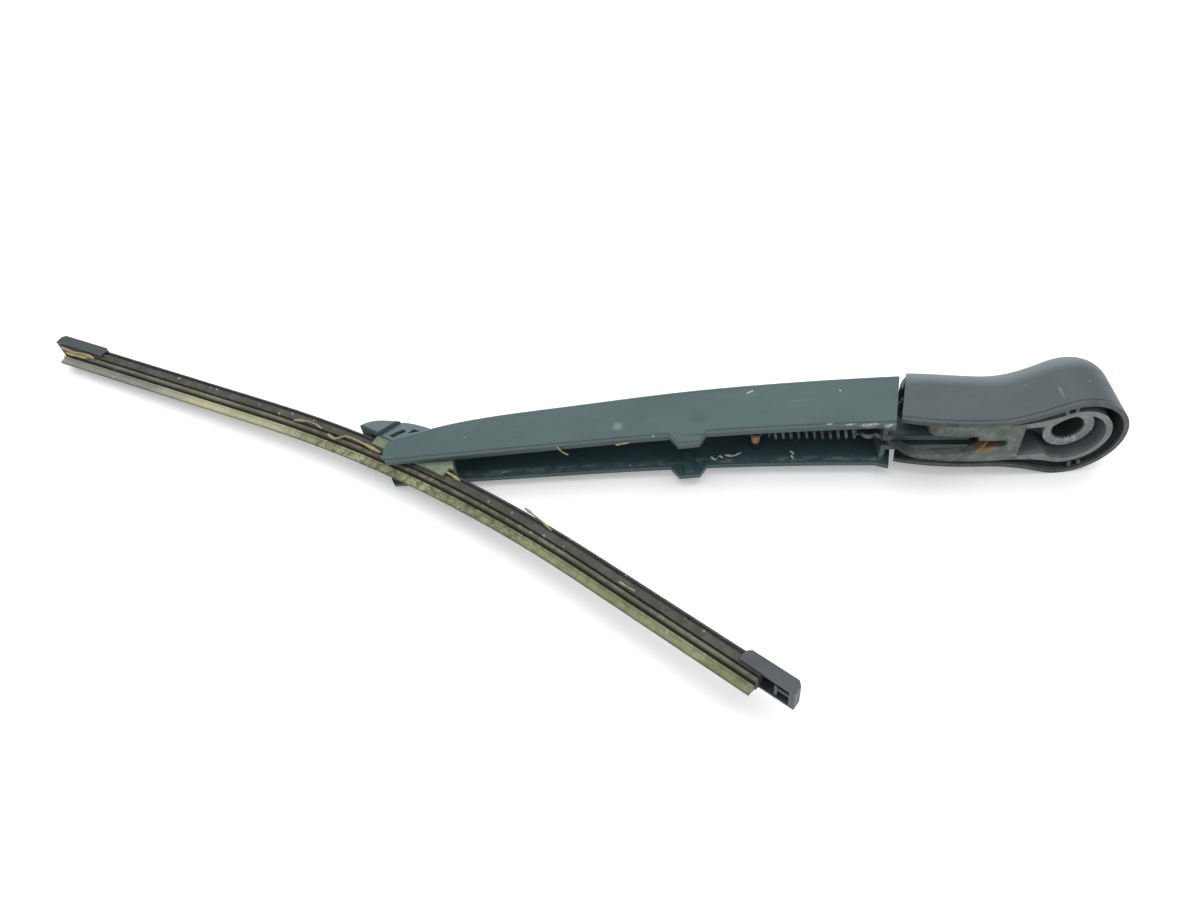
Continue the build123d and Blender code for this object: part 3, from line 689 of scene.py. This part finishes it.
rubberSet = {
    "grain": 700.0,
    "khakiDark": srgb(134, 141, 108), "khakiLight": srgb(170, 176, 140),
    "greyDark": srgb(124, 127, 119), "greyLight": srgb(148, 151, 142), "greyEnd": (-0.125, -0.09),
    "sandRise": (-0.035, -0.06), "sandFall": (-0.13, -0.1), "sandShow": 0.45,
    "sandColor": srgb(196, 192, 158),
    "right": (-0.01, 0.05), "rightShow": 0.45, "rightColor": srgb(112, 114, 84),
    "heelFade": (0.0071, 0.0067), "heelDark": srgb(96, 98, 84), "heelLight": srgb(120, 122, 106),
    "grooveRise": (0.0064, 0.0067), "grooveFall": (0.0074, 0.0071), "grooveShow": 0.85,
    "grooveColor": srgb(30, 28, 18),
    "neckFade": (0.0054, 0.0051), "neckShow": 0.9, "neckColor": srgb(24, 24, 18),
    "middleRise": (-0.07, -0.03), "middleFall": (0.11, 0.03),
    "coarseScale": 170.0, "coarse": 0.52, "coarseShow": 0.7,
    "fineMove": (0.7, 2.3, 1.1), "fineScale": 430.0, "fine": 0.56,
    "dirtRight": 0.45, "dirtMiddle": 0.6, "dirtLeast": 0.12, "dirtColor": srgb(50, 43, 20),
    "edgeFade": (0.0098, 0.0104), "edgeShow": 0.55, "edgeColor": srgb(58, 56, 40),
    "paleScale": 300.0, "paleShare": 0.2, "paleSize": 0.14, "paleShow": 0.55,
    "paleColor": srgb(196, 192, 166),
    "dirtHeight": 0.8, "rough": 0.82, "bump": 0.4, "reach": 0.0003,
}


def rubberFinish():
    s = rubberSet
    material, t, shader, at = newMaterial("lipRubber")
    place = use(t, "depth", at)
    depth, along = place["Depth"], place["Along"]
    grain = use(t, "grain", at, Scale=s["grain"])
    # The lip is dusty khaki, grey at the left end and browner to the right
    khaki = t.mix(grain["Cloud"], s["khakiDark"], s["khakiLight"])
    grey = t.mix(grain["Cloud"], s["greyDark"], s["greyLight"])
    color = t.mix(t.ramp(along, *s["greyEnd"]), grey, khaki)
    sand = t.band(along, s["sandRise"], s["sandFall"])
    color = t.tint(color, sand, s["sandShow"], s["sandColor"])
    rightward = t.ramp(along, *s["right"])
    color = t.tint(color, rightward, s["rightShow"], s["rightColor"])
    # The heel is greyer, the groove and the neck are dark
    heelColor = t.mix(grain["Cloud"], s["heelDark"], s["heelLight"])
    color = t.mix(t.ramp(depth, *s["heelFade"]), color, heelColor)
    groove = t.band(depth, s["grooveRise"], s["grooveFall"])
    color = t.tint(color, groove, s["grooveShow"], s["grooveColor"])
    neck = t.ramp(depth, *s["neckFade"])
    color = t.tint(color, neck, s["neckShow"], s["neckColor"])
    # Wet dark dirt is heaviest in the middle of the blade
    middle = t.band(along, s["middleRise"], s["middleFall"])
    coarse = use(t, "grime", at, Scale=s["coarseScale"], Amount=s["coarse"])["Mask"]
    moved = t.place(at, move=s["fineMove"])
    fine = use(t, "grime", moved, Scale=s["fineScale"], Amount=s["fine"])["Mask"]
    dirt = t.most(t.times(coarse, s["coarseShow"]), fine)
    heavy = t.most(middle, t.times(rightward, s["dirtRight"]))
    share = t.plus(t.times(heavy, s["dirtMiddle"]), s["dirtLeast"])
    color = t.tint(color, dirt, share, s["dirtColor"])
    edge = t.ramp(depth, *s["edgeFade"])
    color = t.tint(color, edge, s["edgeShow"], s["edgeColor"])
    pale = use(
        t, "specks", at, Scale=s["paleScale"], Share=s["paleShare"], Size=s["paleSize"]
    )["Mask"]
    color = t.tint(color, pale, s["paleShow"], s["paleColor"])
    height = t.plus(grain["Height"], t.times(dirt, s["dirtHeight"]))
    finishMaterial(t, shader, color, s["rough"], height, s["bump"], s["reach"])
    return material


# Metals: name, colour, stain, roughness, metallic share and whether the rust reaches it
metals = {
    "hinge_pin": ("pinSteel", srgb(120, 118, 112), srgb(76, 72, 66), 0.4, 0.6),
    "link_pin": ("linkPinSteel", srgb(118, 108, 92), srgb(84, 60, 36), 0.5, 0.4, True),
    "blade_pivot_pin": ("pivotSteel", srgb(110, 110, 105), srgb(66, 66, 62), 0.45, 0.6),
    "spring_link": ("linkSteel", srgb(96, 104, 104), srgb(50, 54, 52), 0.5, 0.35, True),
    "tension_spring": ("springSteel", srgb(104, 112, 114), srgb(52, 58, 60), 0.42, 0.5),
    "upper_rail": ("railSteel", srgb(18, 19, 17), srgb(10, 10, 8), 0.6, 0.1),
    "lower_rail": ("lowerRailSteel", srgb(18, 19, 17), srgb(10, 10, 8), 0.6, 0.1),
}
finishes = {node: metalFinish(*look) for node, look in metals.items()}
finishes.update({
    "head_casting": castFinish(),
    "head_cover": coverFinish(),
    "arm_shell": armFinish(),
    "spring_anchor_pin": anchorFinish(),
    "connector_base": connectorFinish(),
    "connector_fairing": fairingFinish(),
    "blade_spine": spineFinish(),
    "rubber_element": rubberFinish(),
    "left_end_cap": capFinish("leftCapPlastic", srgb(54, 62, 67)),
    "right_end_cap": capFinish("rightCapPlastic", srgb(66, 76, 79)),
})
for node, material in finishes.items():
    dress(node, material)
print("materials set")


# The camera was fitted to the photo, and straw is traced through it
cameraSet = {
    "eye": Vector((-0.15217, -0.21608, 0.26637)),
    "forward": Vector((-0.04394, 0.65381, -0.75539)),
    "up": Vector((0.09276, 0.75552, 0.64853)),
    "focalPixels": 950,
    "framePixels": 1200,
    "frameRows": 904,
    "sensor": 36.0,
    "near": 0.01,
    "far": 50,
}


def cameraAxes():
    forward = cameraSet["forward"].normalized()
    right = forward.cross(cameraSet["up"]).normalized()
    return forward, right, right.cross(forward)


def traced(level, spots):
    # A spot is a column and row of the photo and a height. The ray through the pixel is
    # followed to the level, and the point there is then set to its own height.
    s = cameraSet
    forward, right, up = cameraAxes()
    eye = s["eye"] * 1000
    points = []
    for column, row, height in spots:
        across = right * (column - s["framePixels"] / 2)
        upward = up * (s["frameRows"] / 2 - row)
        ray = forward * s["focalPixels"] + across + upward
        hit = eye + ray * (level - eye.z) / ray.z
        points.append((round(hit.x, 1), round(hit.y, 1), height))
    return points


# Straw, flakes and stalks caught on the wiper, in millimetres
spineLevel = 4.3
connectorLevel = 4.4
lipLevel = 3.3
strandSet = {"sides": 8, "round": 0.6, "smoothAngle": math.radians(50)}


def strand(name, look):
    # A small disc is drawn out from point to point, thinner and thicker in turn
    points = [Vector(p) / 1000 for p in look["points"]]
    bpy.ops.object.select_all(action="DESELECT")
    turn = (points[1] - points[0]).to_track_quat("Z", "Y").to_euler()
    bpy.ops.mesh.primitive_circle_add(
        vertices=strandSet["sides"], radius=look["radius"] / 1000, fill_type="NGON",
        location=points[0], rotation=turn
    )
    piece = bpy.context.object
    piece.name = name
    bpy.ops.object.transform_apply(location=True, rotation=True, scale=True)
    bpy.ops.object.mode_set(mode="EDIT")
    bpy.ops.mesh.select_all(action="SELECT")
    for number, (here, there) in enumerate(zip(points, points[1:]), 1):
        bpy.ops.mesh.extrude_region_move(TRANSFORM_OT_translate={"value": there - here})
        size = look["taper"] if number % 2 else 1 / look["taper"] ** 0.5
        bpy.ops.transform.resize(value=(size, size, size), center_override=tuple(there))
    bpy.ops.mesh.select_all(action="SELECT")
    bpy.ops.transform.resize(value=(1, 1, look["flat"]), center_override=tuple(points[0]))
    bpy.ops.mesh.subdivide(number_cuts=1, smoothness=strandSet["round"])
    bpy.ops.mesh.normals_make_consistent(inside=False)
    bpy.ops.object.mode_set(mode="OBJECT")
    bpy.ops.object.shade_smooth_by_angle(angle=strandSet["smoothAngle"])
    piece.data.materials.append(look["finish"])
    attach(piece, look["body"])


scrapSet = {
    "stretch": (0.4, 1, 1), "scale": 900, "bumpScale": 1500, "rough": 0.8, "bump": 0.3,
    "reach": 0.0001,
}


def scrapFinish(name, dark, light):
    s = scrapSet
    material, t, shader, at = newMaterial(name)
    color = t.mix(t.noise(t.place(at, scale=s["stretch"]), s["scale"]), dark, light)
    bumps = t.noise(at, s["bumpScale"], 3.0)
    finishMaterial(t, shader, color, s["rough"], bumps, s["bump"], s["reach"])
    return material


strawFinish = scrapFinish("driedStraw", srgb(112, 98, 62), srgb(186, 172, 126))
flakeFinish = scrapFinish("paleFlake", srgb(150, 160, 158), srgb(224, 230, 226))
chipFinish = scrapFinish("darkChip", srgb(84, 96, 98), srgb(206, 216, 214))
bladeStraw = {"taper": 0.85, "flat": 1.0, "finish": strawFinish, "body": "blade"}
armStraw = dict(bladeStraw, body="arm")
armFlake = {"taper": 0.8, "flat": 0.5, "finish": flakeFinish, "body": "arm"}
strands = {
    "capStraw": dict(bladeStraw, radius=0.5, taper=0.9, points=traced(spineLevel, [
        (61, 347.6, 4.3), (63.8, 348.7, 4.5), (74.2, 352.6, 4.3), (84.7, 354.7, 4.5),
        (93.8, 358.4, 4.2),
    ])),
    "capStrawShort": dict(bladeStraw, radius=0.4, points=traced(spineLevel, [
        (66.4, 352.6, 4.0), (76.8, 355.7, 4.2), (87.3, 357.8, 4.0),
    ])),
    "connectorStraw": dict(bladeStraw, radius=0.45, points=traced(connectorLevel, [
        (327.9, 433.7, 4.0), (334.4, 438.9, 4.4), (344.9, 436.3, 4.5), (352.7, 438.4, 4.3),
        (364.5, 444.1, 4.3), (380, 452, 4.2),
    ])),
    "spineStraw": dict(bladeStraw, radius=0.5, points=traced(spineLevel, [
        (436, 468, 4.4), (445, 472, 4.7), (452, 476, 4.7), (460, 481, 4.4),
    ])),
    "lineStraw": dict(bladeStraw, radius=0.28, taper=0.9, points=traced(spineLevel, [
        (293.9, 419.8, 4.2), (307, 421.4, 4.4), (316.1, 424.5, 4.4), (322.1, 428.4, 4.2),
    ])),
    "stalk": dict(bladeStraw, radius=0.35, points=[
        (-194.8, -12.2, 4.6), (-191.9, -15.1, 4.3), (-188.4, -18.8, 4.0), (-185.6, -22.4, 3.9),
    ]),
    "lipStraw": dict(bladeStraw, radius=0.3, points=traced(lipLevel, [
        (615, 580, 3.4), (628, 588, 3.8), (640, 595, 3.4),
    ])),
    "channelStalk": dict(armStraw, radius=0.3, taper=0.75, points=[
        (-182.5, 10.9, 9.0), (-181.2, 10.9, 6.2), (-179.2, 10.9, 4.2),
    ]),
    "rimStalk": dict(armStraw, radius=0.25, taper=0.8, points=[
        (-161.4, 9.6, 8.6), (-159.4, 9.9, 8.5), (-156.8, 10.3, 8.4),
    ]),
    "curledFlake": dict(armFlake, radius=0.55, taper=0.7, points=[
        (-126.6, 13.3, -7.3), (-125.0, 11.6, -7.2), (-123.4, 13.4, -7.0), (-122.4, 12.2, -7.2),
    ]),
    "longFlake": dict(armFlake, radius=0.4, points=[
        (-121.4, 13.6, -7.3), (-118.5, 12.6, -6.8), (-115.3, 13.9, -7.2),
    ]),
    "smallFlake": dict(armFlake, radius=0.45, points=[
        (-97.2, 12.6, -7.4), (-96.2, 11.2, -7.1), (-97.3, 10.2, -7.1), (-96.6, 9.2, -7.4),
    ]),
    "paintChip": dict(armFlake, radius=0.55, taper=0.75, flat=0.6, finish=chipFinish, points=[
        (-111.6, 27.4, 9.9), (-110.2, 28.2, 10.2), (-108.6, 28.7, 9.9),
    ]),
}
for name, look in strands.items():
    strand(name, look)
print("straw and flakes placed:", len(strands))


# Floor, light and camera
floorSet = {
    "size": 60.0, "lean": math.radians(1.94), "under": -0.0187, "color": (0.93, 0.94, 0.945, 1),
    "rough": 0.9, "lift": 0.27, "glow": (1, 1, 1, 1),
}


def buildFloor():
    s = floorSet
    bpy.ops.object.select_all(action="DESELECT")
    bpy.ops.mesh.primitive_plane_add(size=s["size"], location=(0, 0, 0))
    floor = bpy.context.object
    floor.name = "studioFloor"
    lowered = Matrix.Translation((0, 0, s["under"]))
    floor.data.transform(lowered @ Matrix.Rotation(s["lean"], 4, "Y"))
    material, t, shader, _ = newMaterial("paleFloor")
    shader.inputs["Base Color"].default_value = s["color"]
    shader.inputs["Roughness"].default_value = s["rough"]
    shader.inputs["Specular IOR Level"].default_value = 0.0
    path = t.new("ShaderNodeLightPath").outputs
    seen = t.most(path["Is Camera Ray"], path["Is Glossy Ray"])
    t.join(t.times(seen, s["lift"]), shader.inputs["Emission Strength"])
    shader.inputs["Emission Color"].default_value = s["glow"]
    floor.data.materials.append(material)


lampSet = {
    "strength": 1.95, "spread": math.radians(75), "topAt": (-0.15, 0.25, 1.2),
    "aim": (-0.2, 0.0, 0.0), "world": 0.6, "worldColor": (1, 1, 1, 1),
}


def buildLights():
    s = lampSet
    world = bpy.data.worlds.new("studioWorld")
    bpy.context.scene.world = world
    world.use_nodes = True
    back = world.node_tree.nodes["Background"]
    back.inputs["Color"].default_value = s["worldColor"]
    t = Tree(world.node_tree)
    seen = t.new("ShaderNodeLightPath").outputs["Is Camera Ray"]
    strength = t.plus(t.times(seen, 1 - s["world"]), s["world"])
    t.join(strength, back.inputs["Strength"])
    # One wide soft source overhead, even over the whole floor
    lamp = bpy.data.lights.new("topSoftbox", "SUN")
    lamp.energy = s["strength"]
    lamp.angle = s["spread"]
    holder = bpy.data.objects.new("topSoftbox", lamp)
    bpy.context.scene.collection.objects.link(holder)
    holder.location = s["topAt"]
    aim = Vector(s["aim"]) - holder.location
    holder.rotation_euler = aim.to_track_quat("-Z", "Y").to_euler()


def buildCamera():
    s = cameraSet
    data = bpy.data.cameras.new("photoCamera")
    camera = bpy.data.objects.new("photoCamera", data)
    bpy.context.scene.collection.objects.link(camera)
    forward, right, up = cameraAxes()
    turn = Matrix((right, up, -forward)).transposed().to_4x4()
    camera.matrix_world = Matrix.Translation(s["eye"]) @ turn
    data.sensor_fit = "HORIZONTAL"
    data.sensor_width = s["sensor"]
    data.lens = s["focalPixels"] / s["framePixels"] * s["sensor"]
    data.clip_start = s["near"]
    data.clip_end = s["far"]
    data.dof.use_dof = False
    bpy.context.scene.camera = camera


buildFloor()
buildLights()
buildCamera()
bpy.context.scene.view_settings.view_transform = "Standard"
print("floor, light and camera set")
